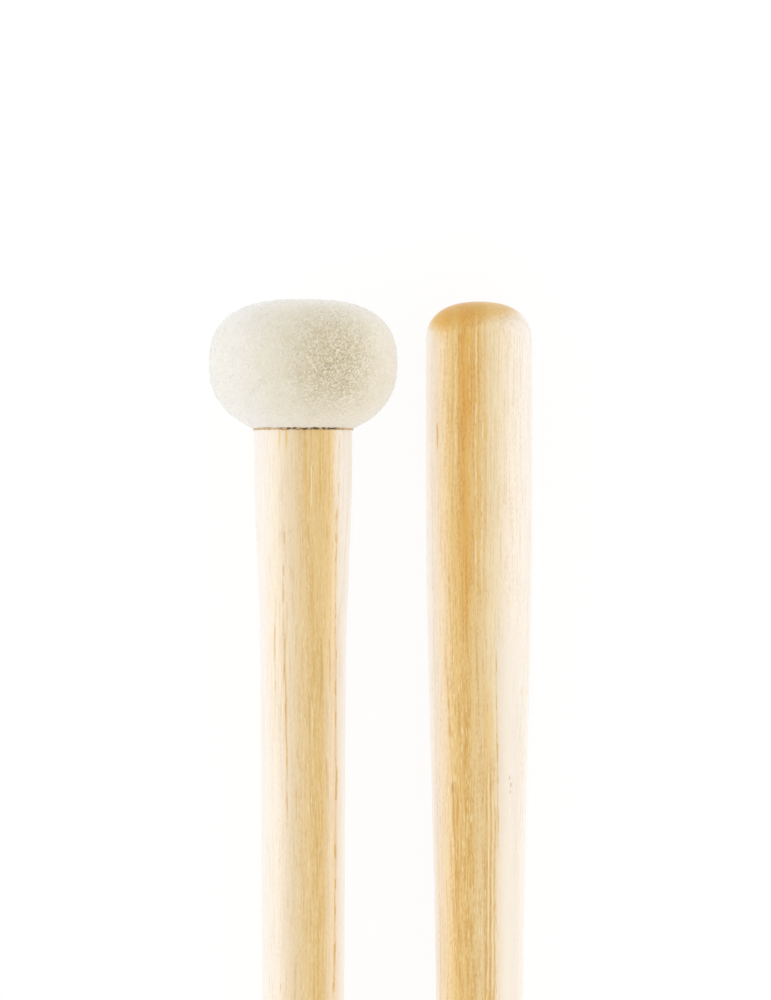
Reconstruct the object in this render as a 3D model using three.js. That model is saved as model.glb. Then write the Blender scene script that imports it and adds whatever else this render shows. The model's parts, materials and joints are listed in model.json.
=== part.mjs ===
// A pair of bass drum mallets, with hard felt heads on turned hickory shafts.
// The two lie head to tail on a flat surface, each on its felt head and on the rim of its butt.
//
// Units are millimetres and +Z is up. The origin is on the surface, midway between the mallets.
// Both lie along Y. The left mallet's head points towards +Y and the right one's towards -Y.
//
// Every piece is round, so each is a profile swept about its mallet's own axis. A profile's points
// are a radius and a station, and stations count from the butt end up to the crown of the head.

import * as THREE from "three";

// One mallet, over all.
const MALLET_LENGTH = 380;

// The hickory shaft, from the butt up.
const BUTT_DIAMETER = 21.6;
const BUTT_DOME_HEIGHT = 8.1;
const BUTT_FLAT_DIAMETER = 5;
const GRIP_LENGTH = 35; // from the butt end to where the handle starts to taper
const HANDLE_TAPER_LENGTH = 175;
const WAIST_DIAMETER = 16.6;
const THROAT_DIAMETER = 17.3;
const FLARE_LENGTH = 48; // from the throat up to the neck
const NECK_DIAMETER = 19.9;
const NECK_LENGTH = 2;
const NECK_EDGE_CHAMFER = 0.3;

// How squarely the dome of the butt turns. An ellipse would be 2.
const BUTT_DOME_POWER = 2.4;

// How much of each stretch of the shaft stays nearly level, at its butt end and at its head end.
const TAPER_LEVEL_SHARES = [0.3, 0.6];
const SWELL_LEVEL_SHARES = [0.5, 0];
const FLARE_LEVEL_SHARES = [0.36, 0.36];

// The tenon that carries the head.
const TENON_DIAMETER = 9.5;
const TENON_CHAMFER = 0.8;

// The felt head.
const HEAD_DIAMETER = 38.1;
const CROWN_HEIGHT = 13.3; // from the widest station up to the flat crown
const CROWN_FLAT_DIAMETER = 10;
const UNDERSIDE_HEIGHT = 13.4; // from the widest station down to the seat
const SEAT_OVERHANG = 0.2; // how far the felt stands out past the neck
const FELT_OVER_TENON = 6.2;

// How squarely the head turns above and below its widest station.
const CROWN_POWER = 2.65;
const UNDERSIDE_POWER = 2.2;

// The glue that fixes the head.
const GLUE_FILM = 0.4;
const GLUE_RING = 0.4;
const GLUE_RING_INSET = 0.2; // how far the ring stays back from the face of the neck

// The clearance between pieces that bear on each other.
const SEAT_GAP = 0.3;

// The free space between one mallet's head and the other's grip.
const PAIR_GAP = 5.8;

// How finely the round shapes are cut.
const SIDES = 36;
const DOME_STEPS = 8;
const TAPER_STEPS = 9;
const SWELL_STEPS = 3;
const FLARE_STEPS = 8;
const CROWN_STEPS = 11;
const UNDERSIDE_STEPS = 10;
const SETTLING_STEPS = 4;

const buttRadius = BUTT_DIAMETER / 2;
const buttFlatRadius = BUTT_FLAT_DIAMETER / 2;
const waistRadius = WAIST_DIAMETER / 2;
const throatRadius = THROAT_DIAMETER / 2;
const neckRadius = NECK_DIAMETER / 2;
const tenonRadius = TENON_DIAMETER / 2;
const headRadius = HEAD_DIAMETER / 2;
const crownFlatRadius = CROWN_FLAT_DIAMETER / 2;
const seatRadius = neckRadius + SEAT_OVERHANG;

// Stations along the axis, from the butt end.
const waistStation = GRIP_LENGTH + HANDLE_TAPER_LENGTH;
const widestStation = MALLET_LENGTH - CROWN_HEIGHT;
const seatStation = widestStation - UNDERSIDE_HEIGHT;
const shoulderStation = seatStation - SEAT_GAP - GLUE_RING - SEAT_GAP;
const neckStation = shoulderStation - NECK_LENGTH;
const throatStation = neckStation - FLARE_LENGTH;
const boreEndStation = MALLET_LENGTH - FELT_OVER_TENON;
const filmEndStation = boreEndStation - SEAT_GAP;
const tenonEndStation = filmEndStation - GLUE_FILM - SEAT_GAP;

// The bore takes the tenon, with the glue film between them.
const filmInnerRadius = tenonRadius + SEAT_GAP;
const filmOuterRadius = filmInnerRadius + GLUE_FILM;
const boreRadius = filmOuterRadius + SEAT_GAP;

const hickory = new THREE.MeshStandardMaterial({ color: 0xecd29a, roughness: 0.38, metalness: 0 });
const felt = new THREE.MeshStandardMaterial({ color: 0xe6e0d0, roughness: 0.95, metalness: 0 });
const glue = new THREE.MeshStandardMaterial({ color: 0x4a3220, roughness: 0.5, metalness: 0 });

function at(radius, station) {
  return new THREE.Vector2(radius, station);
}

// A superellipse from its pole round to its full radius, without the part of it inside innerRadius.
// Each point has its radius and its rise over the widest station.
function roundedEnd(radius, height, power, innerRadius, steps) {
  const firstAngle = Math.asin((innerRadius / radius) ** (power / 2));
  const points = [];
  for (let i = 0; i <= steps; i++) {
    const angle = THREE.MathUtils.lerp(firstAngle, Math.PI / 2, i / steps);
    const rise = i < steps ? height * Math.cos(angle) ** (2 / power) : 0;
    points.push({ r: radius * Math.sin(angle) ** (2 / power), rise });
  }
  return points;
}

// The same with a flat over the pole. It is stretched a little, so that the flat is at full height.
function flattenedEnd(radius, height, power, flatRadius, steps) {
  const points = roundedEnd(radius, height, power, flatRadius, steps);
  const stretch = height / points[0].rise;
  return points.map(({ r, rise }) => ({ r, rise: rise * stretch }));
}

// A smooth stretch of the shaft between two points of its profile.
function smoothStretch(from, to, [startShare, endShare], steps) {
  const length = to.y - from.y;
  const leaving = at(from.x, from.y + startShare * length);
  const arriving = at(to.x, to.y - endShare * length);
  return new THREE.CubicBezierCurve(from, leaving, arriving, to).getPoints(steps);
}

// The outside of the shaft, from the flat on the butt up to the edge of the shoulder.
function shaftOutline() {
  const dome = flattenedEnd(buttRadius, BUTT_DOME_HEIGHT, BUTT_DOME_POWER, buttFlatRadius, DOME_STEPS);
  const grip = at(buttRadius, GRIP_LENGTH);
  const waist = at(waistRadius, waistStation);
  const throat = at(throatRadius, throatStation);
  const neck = at(neckRadius, neckStation);
  return [
    ...dome.map(({ r, rise }) => at(r, BUTT_DOME_HEIGHT - rise)),
    ...smoothStretch(grip, waist, TAPER_LEVEL_SHARES, TAPER_STEPS),
    ...smoothStretch(waist, throat, SWELL_LEVEL_SHARES, SWELL_STEPS).slice(1),
    ...smoothStretch(throat, neck, FLARE_LEVEL_SHARES, FLARE_STEPS).slice(1),
    at(neckRadius, shoulderStation - NECK_EDGE_CHAMFER),
    at(neckRadius - NECK_EDGE_CHAMFER, shoulderStation),
  ];
}

// The outside of the felt, from the edge of the seat round to the edge of the flat crown.
function feltOutline() {
  // The underside curve would run on to a pole. It is cut off where it comes in to the seat.
  const riseShare = (1 - (seatRadius / headRadius) ** UNDERSIDE_POWER) ** (1 / UNDERSIDE_POWER);
  const fullHeight = UNDERSIDE_HEIGHT / riseShare;
  const underside = roundedEnd(headRadius, fullHeight, UNDERSIDE_POWER, seatRadius, UNDERSIDE_STEPS);
  const crown = flattenedEnd(headRadius, CROWN_HEIGHT, CROWN_POWER, crownFlatRadius, CROWN_STEPS);
  return [
    ...underside.map(({ r, rise }) => at(r, widestStation - rise)),
    ...crown.reverse().slice(1).map(({ r, rise }) => at(r, widestStation + rise)),
  ];
}

// One piece of turned wood, with the tenon standing up from the shoulder.
function shaftProfile() {
  return [
    at(0, 0),
    ...shaftOutline(),
    at(tenonRadius, shoulderStation),
    at(tenonRadius, tenonEndStation - TENON_CHAMFER),
    at(tenonRadius - TENON_CHAMFER, tenonEndStation),
    at(0, tenonEndStation),
  ];
}

// Solid pressed felt with a blind bore.
function feltProfile() {
  return [
    at(0, boreEndStation),
    at(boreRadius, boreEndStation),
    at(boreRadius, seatStation),
    ...feltOutline(),
    at(0, MALLET_LENGTH),
  ];
}

// The cured glue round the tenon and over its end.
function glueFilmProfile() {
  return [
    at(0, filmEndStation - GLUE_FILM),
    at(filmInnerRadius, filmEndStation - GLUE_FILM),
    at(filmInnerRadius, seatStation),
    at(filmOuterRadius, seatStation),
    at(filmOuterRadius, filmEndStation),
    at(0, filmEndStation),
  ];
}

// The glue between the shoulder and the felt, which shows as a thin dark line.
function glueRingProfile() {
  const outerRadius = neckRadius - GLUE_RING_INSET;
  const low = shoulderStation + SEAT_GAP;
  const high = low + GLUE_RING;
  return [
    at(filmInnerRadius, low),
    at(outerRadius, low),
    at(outerRadius, high),
    at(filmInnerRadius, high),
    at(filmInnerRadius, low),
  ];
}

// A round piece about the Y axis. It starts half a side round, so that a flat side faces down.
function turned(name, profile, material) {
  const mesh = new THREE.Mesh(new THREE.LatheGeometry(profile, SIDES, Math.PI / SIDES), material);
  mesh.name = name;
  return mesh;
}

// How a mallet lies on a level surface: its tilt, and the height of its axis at the butt end.
// Its lowest line touches at one station of the handle, the foot, and one of the head, the cheek.
function restingPose() {
  const flatSideShare = Math.cos(Math.PI / SIDES);
  const lowLine = (outline) => outline.map((p) => at(p.x * flatSideShare, p.y));
  const handle = lowLine(shaftOutline()).filter((p) => p.y < waistStation);
  const head = lowLine(feltOutline());
  let tilt = 0;
  let foot;
  for (let i = 0; i < SETTLING_STEPS; i++) {
    const height = (p) => p.y * Math.sin(tilt) - p.x * Math.cos(tilt);
    const lowest = (points) => points.reduce((a, b) => (height(b) < height(a) ? b : a));
    const cheek = lowest(head);
    foot = lowest(handle);
    tilt = Math.atan2(cheek.x - foot.x, cheek.y - foot.y);
  }
  return { tilt, lift: foot.x * Math.cos(tilt) - foot.y * Math.sin(tilt) };
}

// One mallet, laid down with its axis along +Y from the butt to the head, and centred on Y.
function mallet(side) {
  const { tilt, lift } = restingPose();
  const group = new THREE.Group();
  group.add(turned(side + "_shaft", shaftProfile(), hickory));
  group.add(turned(side + "_felt_head", feltProfile(), felt));
  group.add(turned(side + "_tenon_glue", glueFilmProfile(), glue));
  group.add(turned(side + "_shoulder_glue", glueRingProfile(), glue));
  group.rotation.x = tilt;
  group.position.set(0, (-MALLET_LENGTH / 2) * Math.cos(tilt), lift);
  return group;
}

// The second mallet is the first one turned half round on the surface.
function pair() {
  const spacing = headRadius + buttRadius + PAIR_GAP;
  const left = new THREE.Group();
  left.position.x = -spacing / 2;
  left.add(mallet("left"));
  const right = new THREE.Group();
  right.position.x = spacing / 2;
  right.rotation.z = Math.PI;
  right.add(mallet("right"));
  return new THREE.Group().add(left, right);
}

export default pair();
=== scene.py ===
"""Two bass drum mallets with pressed felt heads on lacquered hickory shafts, seen from above.

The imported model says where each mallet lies. This file turns the smooth shafts, presses the felt
heads with their nap, lays the glue, and sets up the table, the lamps and the camera. Lengths are in
metres. The patterns of the wood, the felt and the glue are in millimetres, and their scales say how
often a pattern changes in one millimetre along each axis.
"""

import json
import logging
import math
import random
from dataclasses import dataclass
from enum import Enum

import bmesh
import bpy
from mathutils import Matrix, Vector, noise


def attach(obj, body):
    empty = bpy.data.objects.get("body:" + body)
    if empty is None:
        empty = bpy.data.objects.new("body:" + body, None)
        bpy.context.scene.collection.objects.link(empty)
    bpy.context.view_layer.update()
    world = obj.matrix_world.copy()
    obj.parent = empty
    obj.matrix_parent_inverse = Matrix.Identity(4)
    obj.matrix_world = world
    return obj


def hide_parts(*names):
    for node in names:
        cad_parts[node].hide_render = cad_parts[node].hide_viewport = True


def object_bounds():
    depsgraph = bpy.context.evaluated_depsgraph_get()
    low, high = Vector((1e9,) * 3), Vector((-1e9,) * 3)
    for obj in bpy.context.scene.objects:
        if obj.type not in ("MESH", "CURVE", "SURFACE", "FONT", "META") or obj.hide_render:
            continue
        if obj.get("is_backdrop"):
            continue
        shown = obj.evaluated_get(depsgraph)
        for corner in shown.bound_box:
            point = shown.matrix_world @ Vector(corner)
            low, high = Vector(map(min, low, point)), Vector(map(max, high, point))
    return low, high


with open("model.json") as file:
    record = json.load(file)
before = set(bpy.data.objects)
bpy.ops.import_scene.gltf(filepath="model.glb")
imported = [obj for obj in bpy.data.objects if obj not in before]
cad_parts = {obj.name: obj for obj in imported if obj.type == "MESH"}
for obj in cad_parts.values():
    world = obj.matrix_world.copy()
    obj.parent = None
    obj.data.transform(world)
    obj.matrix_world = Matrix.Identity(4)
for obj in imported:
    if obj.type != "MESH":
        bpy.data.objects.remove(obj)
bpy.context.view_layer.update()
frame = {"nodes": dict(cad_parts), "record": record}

MM = 0.001
MERGE_DISTANCE = 0.001 * MM
SHARP_ANGLE = math.radians(40.0)
WHITE = (1.0, 1.0, 1.0, 1.0)
HALF = 0.5
UP = Vector((0.0, 0.0, 1.0))
AXIS = Vector((0.0, 1.0, 0.0))
LOG = logging.getLogger("mallets")

Triple = tuple[float, float, float]
Span = tuple[float, float]
Colour = tuple[float, float, float, float]
Profile = list[Span]
Tree = bpy.types.NodeTree
Node = bpy.types.Node
Socket = bpy.types.NodeSocket
Sockets = bpy.types.bpy_prop_collection
Value = float | tuple | Socket
Piece = bpy.types.Object


class Side(Enum):
    """Which of the two mallets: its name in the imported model."""

    LEFT = "left"
    RIGHT = "right"

    @property
    def body(self) -> str:
        """The body that the mallet's pieces ride on."""
        return f"{self.value}_mallet"


class Blend(Enum):
    """How two colours are put together."""

    MIX = "MIX"
    MULTIPLY = "MULTIPLY"


class NodeDesk:
    """Places the nodes of one shader tree and joins their sockets."""

    # A Mix node has equally named sockets for each kind of data, so these go by number.
    MIX_COLOURS = (6, 7)
    MIX_VALUES = (2, 3)
    MIX_COLOUR_OUT = 2
    MIX_VALUE_OUT = 0

    def __init__(self, tree: Tree) -> None:
        """Starts on the tree that the nodes go into."""
        self.tree = tree

    def node(self, kind: str, **settings: object) -> Node:
        """Adds a node.

        Args:
            kind: the node's type.
            settings: properties to set on it.

        Returns:
            The new node.
        """
        made = self.tree.nodes.new(kind)
        for name, value in settings.items():
            setattr(made, name, value)
        return made

    def feed(self, socket: Socket, value: Value) -> None:
        """Links a socket to an output, or sets its own value.

        Args:
            socket: the input to feed.
            value: an output socket, or a plain number, vector or colour.
        """
        if isinstance(value, Socket):
            self.tree.links.new(value, socket)
        else:
            socket.default_value = value

    def fill(self, node: Node, **values: Value) -> Node:
        """Feeds some inputs of a node.

        Args:
            node: the node.
            values: its inputs by name, with _ for a space.

        Returns:
            The same node.
        """
        for name, value in values.items():
            self.feed(node.inputs[name.replace("_", " ")], value)
        return node

    def group(self, tree: Tree, **values: Value) -> Sockets:
        """Places a node group.

        Args:
            tree: the group.
            values: its inputs by name, with _ for a space.

        Returns:
            Its outputs by name.
        """
        return self.fill(self.node("ShaderNodeGroup", node_tree=tree), **values).outputs

    def math(self, operation: str, first: Value, second: Value = 0.0) -> Socket:
        """Works out one sum on numbers.

        Args:
            operation: the Math node's operation.
            first: its first input.
            second: its second input, where it takes one.

        Returns:
            The result.
        """
        made = self.node("ShaderNodeMath", operation=operation)
        self.feed(made.inputs[0], first)
        self.feed(made.inputs[1], second)
        return made.outputs[0]

    def plus(self, first: Value, second: Value) -> Socket:
        """The sum of two values."""
        return self.math("ADD", first, second)

    def minus(self, first: Value, second: Value) -> Socket:
        """The first value less the second."""
        return self.math("SUBTRACT", first, second)

    def times(self, first: Value, second: Value) -> Socket:
        """The product of two values."""
        return self.math("MULTIPLY", first, second)

    def clamp(self, value: Value) -> Socket:
        """A value kept between 0 and 1."""
        return self.fill(self.node("ShaderNodeClamp"), Value=value).outputs[0]

    def vector(self, operation: str, first: Value, second: Value, out: str = "Vector") -> Socket:
        """Works out one sum on vectors.

        Args:
            operation: the Vector Math node's operation.
            first: its first input.
            second: its second input.
            out: Vector, or Value for a sum that gives a number.

        Returns:
            The result.
        """
        made = self.node("ShaderNodeVectorMath", operation=operation)
        self.feed(made.inputs[0], first)
        self.feed(made.inputs[1], second)
        return made.outputs[out]

    def length(self, vector: Value) -> Socket:
        """The length of a vector."""
        return self.vector("LENGTH", vector, (0.0, 0.0, 0.0), "Value")

    def split(self, vector: Value) -> Sockets:
        """A vector's X, Y and Z, by these names."""
        return self.fill(self.node("ShaderNodeSeparateXYZ"), Vector=vector).outputs

    def cloud(self, place: Socket, scale: Triple, detail: float) -> Sockets:
        """Adds soft noise.

        Args:
            place: the place on the piece.
            scale: how often the noise changes along each axis.
            detail: how many finer layers it has.

        Returns:
            The noise, as Fac and as Color.
        """
        scaled = self.vector("MULTIPLY", place, scale)
        made = self.node("ShaderNodeTexNoise")
        return self.fill(made, Vector=scaled, Scale=1.0, Detail=detail, Roughness=0.5).outputs

    def grey_cloud(self, place: Socket, scale: Triple, detail: float = 2.0) -> Socket:
        """Soft noise as one value from 0 to 1, mostly near a half."""
        return self.cloud(place, scale, detail)["Fac"]

    def cells(self, place: Socket, scale: Triple) -> Socket:
        """Distance to the nearest of scattered points.

        Args:
            place: the place on the piece.
            scale: how many points there are for each unit along each axis.

        Returns:
            The distance, in cells.
        """
        scaled = self.vector("MULTIPLY", place, scale)
        made = self.fill(self.node("ShaderNodeTexVoronoi"), Vector=scaled, Scale=1.0)
        return made.outputs["Distance"]

    def step(self, value: Value, start: float, end: float) -> Socket:
        """A soft step.

        Args:
            value: what is compared.
            start: where the step is still 0.
            end: where it is 1. It may be less than start, and the step then falls.

        Returns:
            The step, from 0 to 1.
        """
        low, high = sorted((start, end))
        made = self.node("ShaderNodeMapRange", interpolation_type="SMOOTHSTEP")
        self.fill(made, Value=value, From_Min=low, From_Max=high)
        self.fill(made, To_Min=float(start > end), To_Max=float(start <= end))
        return made.outputs["Result"]

    def blend(self, share: Value, first: Value, second: Value, how: Blend = Blend.MIX) -> Socket:
        """Puts two colours together.

        Args:
            share: how much of the second one.
            first: the colour underneath.
            second: the colour on top.
            how: mixed or multiplied.

        Returns:
            The colour.
        """
        made = self.node("ShaderNodeMix", data_type="RGBA", blend_type=how.value)
        self.fill(made, Factor=share)
        for number, colour in zip(self.MIX_COLOURS, (first, second)):
            self.feed(made.inputs[number], colour)
        return made.outputs[self.MIX_COLOUR_OUT]

    def between(self, share: Value, first: Value, second: Value) -> Socket:
        """Mixes two values.

        Args:
            share: how much of the second one.
            first: the value at 0.
            second: the value at 1.

        Returns:
            The mixed value.
        """
        made = self.fill(self.node("ShaderNodeMix", data_type="FLOAT"), Factor=share)
        for number, value in zip(self.MIX_VALUES, (first, second)):
            self.feed(made.inputs[number], value)
        return made.outputs[self.MIX_VALUE_OUT]

    def relief(self, surface: Node, height: Socket, depth: float, strength: float) -> None:
        """Gives a surface fine relief.

        Args:
            surface: the surface's node.
            height: the relief's pattern.
            depth: how deep it is, in metres.
            strength: how much of it shows.
        """
        bump = self.node("ShaderNodeBump")
        self.fill(bump, Height=height, Distance=depth, Strength=strength)
        self.fill(surface, Normal=bump.outputs[0])


def new_group(name: str, inputs: dict[str, str], outputs: dict[str, str]) -> tuple:
    """Starts a shader node group.

    Args:
        name: the group's name.
        inputs: the kind of each input by its name: Float, Vector or Color.
        outputs: the kind of each output by its name.

    Returns:
        The group's desk, what it is given by name, and the node that takes what it makes.
    """
    tree = bpy.data.node_groups.new(name, "ShaderNodeTree")
    for way, sockets in (("INPUT", inputs), ("OUTPUT", outputs)):
        for label, kind in sockets.items():
            tree.interface.new_socket(label, in_out=way, socket_type=f"NodeSocket{kind}")
    desk = NodeDesk(tree)
    return desk, desk.node("NodeGroupInput").outputs, desk.node("NodeGroupOutput")


@dataclass(frozen=True)
class Drift:
    """The slow wandering of the grain off the shaft's axis: the scale and reach of each wave."""

    waves: tuple[tuple[Triple, float], ...] = (
        ((0.05, 0.008, 0.05), 2.4),
        ((0.35, 0.04, 0.35), 0.5),
    )

    def tree(self) -> Tree:
        """Makes the node group.

        Returns:
            The group. It moves a place across the grain, which runs along Y.
        """
        desk, given, made = new_group("grain_drift", {"Place": "Vector"}, {"Place": "Vector"})
        place = given["Place"]
        for scale, reach in self.waves:
            wander = desk.cloud(given["Place"], scale, detail=1.0)["Color"]
            wander = desk.vector("SUBTRACT", wander, (HALF, HALF, HALF))
            wander = desk.vector("MULTIPLY", wander, (reach, 0.0, reach))
            place = desk.vector("ADD", place, wander)
        desk.fill(made, Place=place)
        return desk.tree


@dataclass(frozen=True)
class Grain:
    """The grain of straight hickory: growth bands, lines, fibres, rays and vessels."""

    band_wander_scale: float = 0.32
    band_wander: float = 2.2
    late_wood_rise: Span = (0.1, 0.85)
    late_wood_fall: Span = (0.99, 0.9)
    year_power: float = 1.6
    year_strength: Span = (0.15, 0.8)
    busy_scale: Triple = (0.16, 0.012, 0.16)
    busy_range: Span = (0.38, 0.62)
    calm_share: float = 0.4
    lines: tuple[tuple[Triple, float], ...] = (((2.1, 0.016, 2.1), 0.26), ((2.9, 0.1, 2.9), 0.34))
    line_range: Span = (0.3, 0.7)
    fibre_scale: Triple = (3.6, 0.11, 3.6)
    fibre_reach: float = 0.45
    fleck_scale: Triple = (4.4, 1.1, 4.4)
    fleck_reach: float = 0.36
    thread_range: Span = (0.28, 0.72)
    thread_gain: float = 0.04
    ray_scale: Triple = (2.3, 0.26, 2.3)
    ray_range: Span = (0.3, 0.16)
    ray_strength: float = 0.9
    crowding_scale: Triple = (0.3, 0.015, 0.3)
    crowding_range: Span = (0.48, 0.6)
    vessel_scale: Triple = (1.25, 0.12, 1.25)
    vessel_range: Span = (0.17, 0.08)
    vessel_strength: float = 0.5
    fibre_height: float = 0.25

    def bands(self, desk: NodeDesk, given: Sockets) -> Socket:
        """Makes the growth bands about the pith.

        Args:
            desk: the group's desk.
            given: what the group is given.

        Returns:
            The late wood of each year, stronger in some years than in others.
        """
        reach = desk.vector("SUBTRACT", given["Place"], given["Pith"])
        reach = desk.length(desk.vector("MULTIPLY", reach, (1.0, 0.0, 1.0)))
        uneven = desk.node("ShaderNodeTexNoise", noise_dimensions="1D")
        desk.fill(uneven, W=reach, Scale=self.band_wander_scale)
        uneven = desk.times(uneven.outputs["Fac"], self.band_wander)
        bands = desk.plus(desk.math("DIVIDE", reach, given["Band Width"]), uneven)
        within = desk.math("FRACT", bands)
        late_wood = desk.step(within, *self.late_wood_rise)
        late_wood = desk.times(late_wood, desk.step(within, *self.late_wood_fall))
        year = desk.node("ShaderNodeTexWhiteNoise", noise_dimensions="1D")
        year = desk.fill(year, W=desk.math("FLOOR", bands)).outputs["Value"]
        year = desk.math("POWER", year, self.year_power)
        return desk.times(late_wood, desk.between(year, *self.year_strength))

    def tree(self) -> Tree:
        """Makes the node group.

        Returns:
            The group. It reads a place with Y along the grain.
        """
        inputs = {"Place": "Vector", "Pith": "Vector", "Band Width": "Float", "Figure": "Float"}
        inputs |= dict.fromkeys(("Light", "Dark", "Vessel", "Ray"), "Color")
        desk, given, made = new_group("hickory_grain", inputs, {"Color": "Color", "Height": "Float"})
        place = given["Place"]
        figure = given["Figure"]
        tone = desk.times(self.bands(desk, given), figure)
        busy = desk.step(desk.grey_cloud(place, self.busy_scale, detail=1.0), *self.busy_range)
        for scale, reach in self.lines:
            lines = desk.step(desk.grey_cloud(place, scale), *self.line_range)
            lines = desk.times(desk.between(lines, -reach, reach), figure)
            lines = desk.times(lines, desk.between(busy, self.calm_share, 1.0))
            tone = desk.plus(tone, lines)
        fibres = desk.grey_cloud(place, self.fibre_scale)
        flecks = desk.grey_cloud(place, self.fleck_scale, detail=1.0)
        for threads, reach in ((fibres, self.fibre_reach), (flecks, self.fleck_reach)):
            threads = desk.step(threads, *self.thread_range)
            threads = desk.between(threads, -reach, reach + self.thread_gain)
            tone = desk.plus(tone, desk.times(threads, figure))
        colour = desk.blend(desk.clamp(tone), given["Light"], given["Dark"])
        rays = desk.step(desk.cells(place, self.ray_scale), *self.ray_range)
        rays = desk.times(desk.times(rays, busy), figure)
        colour = desk.blend(desk.times(rays, self.ray_strength), colour, given["Ray"])
        vessels = desk.step(desk.cells(place, self.vessel_scale), *self.vessel_range)
        crowding = desk.grey_cloud(place, self.crowding_scale)
        vessels = desk.times(vessels, desk.step(crowding, *self.crowding_range))
        colour = desk.blend(desk.times(vessels, self.vessel_strength), colour, given["Vessel"])
        height = desk.times(desk.minus(fibres, HALF), self.fibre_height)
        desk.fill(made, Color=colour, Height=desk.minus(height, vessels))
        return desk.tree


@dataclass(frozen=True)
class StreakForm:
    """The form of a streak along the grain: how it winds, swells and breaks up."""

    NUMBERS = ("Across", "Lean", "Start", "End", "Width", "Softness", "Fade", "Broken")

    edge: Span = (-0.5, 0.5)
    winding_scale: Triple = (0.2, 0.14, 0.2)
    winding: float = 0.25
    swelling_scale: Triple = (0.6, 0.22, 0.6)
    swelling: float = 0.16
    dash_scale: Triple = (0.9, 0.26, 0.9)
    dash_range: Span = (0.45, 0.56)

    def tree(self) -> Tree:
        """Makes the node group.

        Returns:
            The group. It reads a place with Y along the grain, and puts out the streak's mask.
        """
        inputs = {"Place": "Vector", **dict.fromkeys(self.NUMBERS, "Float")}
        desk, given, made = new_group("grain_streak", inputs, {"Mask": "Float"})
        place = given["Place"]
        split = desk.split(place)
        along = desk.minus(split["Y"], given["Start"])
        winding = desk.grey_cloud(place, self.winding_scale)
        middle = desk.plus(desk.times(along, given["Lean"]), given["Across"])
        middle = desk.plus(middle, desk.between(winding, -self.winding, self.winding))
        swelling = desk.grey_cloud(place, self.swelling_scale)
        half = desk.times(given["Width"], HALF)
        half = desk.plus(half, desk.between(swelling, -self.swelling, self.swelling))
        off = desk.math("ABSOLUTE", desk.minus(split["X"], middle))
        mask = desk.math("DIVIDE", desk.minus(half, off), given["Softness"])
        mask = desk.step(mask, *self.edge)
        for distance in (along, desk.minus(given["End"], split["Y"])):
            end = desk.step(desk.math("DIVIDE", distance, given["Fade"]), *self.edge)
            mask = desk.times(mask, end)
        dashes = desk.step(desk.grey_cloud(place, self.dash_scale), *self.dash_range)
        unbroken = desk.minus(1.0, given["Broken"])
        desk.fill(made, Mask=desk.times(mask, desk.math("MAXIMUM", unbroken, dashes)))
        return desk.tree


@dataclass(frozen=True)
class Matting:
    """The surface of pressed wool: short matted fibres that lie every way."""

    lays: tuple[tuple[Triple, Triple], ...] = (
        ((0.3, 0.2, 0.9), (1.1, 2.4, 2.4)),
        ((0.9, -0.5, 0.1), (2.2, 1.0, 2.2)),
        ((-0.6, 0.8, -0.4), (2.6, 2.6, 1.2)),
    )
    lay_shift: Triple = (17.0, 5.0, 0.0)
    patch_scale: Triple = (0.55, 0.55, 0.55)
    patch_range: Span = (0.42, 0.58)
    fibre_range: Span = (0.26, 0.74)
    mottle_scale: Triple = (0.3, 0.3, 0.3)
    mottle_detail: float = 3.0
    mottle_range: Span = (0.3, 0.7)
    speck_scale: Triple = (0.9, 0.9, 0.9)
    speck_range: Span = (0.2, 0.08)

    def tree(self) -> Tree:
        """Makes the node group, in which each lay of fibres has a turn and a scale.

        Returns:
            The group. It puts out the fibres, broad mottling and single specks.
        """
        outputs = {"Fibres": "Float", "Mottle": "Float", "Specks": "Float"}
        desk, given, made = new_group("matted_wool", {"Place": "Vector"}, outputs)
        place = given["Place"]
        matted = None
        for number, (turn, scale) in enumerate(self.lays):
            turned = desk.node("ShaderNodeMapping")
            shift = tuple(number * distance for distance in self.lay_shift)
            turned = desk.fill(turned, Vector=place, Rotation=turn, Location=shift).outputs[0]
            lay = desk.grey_cloud(turned, scale)
            if matted is None:
                matted = lay
                continue
            patch = desk.grey_cloud(turned, self.patch_scale, detail=1.0)
            patch = desk.step(patch, *self.patch_range)
            matted = desk.between(patch, matted, lay)
        mottle = desk.grey_cloud(place, self.mottle_scale, self.mottle_detail)
        specks = desk.cells(place, self.speck_scale)
        desk.fill(
            made,
            Fibres=desk.step(matted, *self.fibre_range),
            Mottle=desk.step(mottle, *self.mottle_range),
            Specks=desk.step(specks, *self.speck_range),
        )
        return desk.tree


@dataclass(frozen=True)
class Patterns:
    """The node groups that both mallets share."""

    drift: Tree
    grain: Tree
    streak: Tree
    matting: Tree


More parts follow.
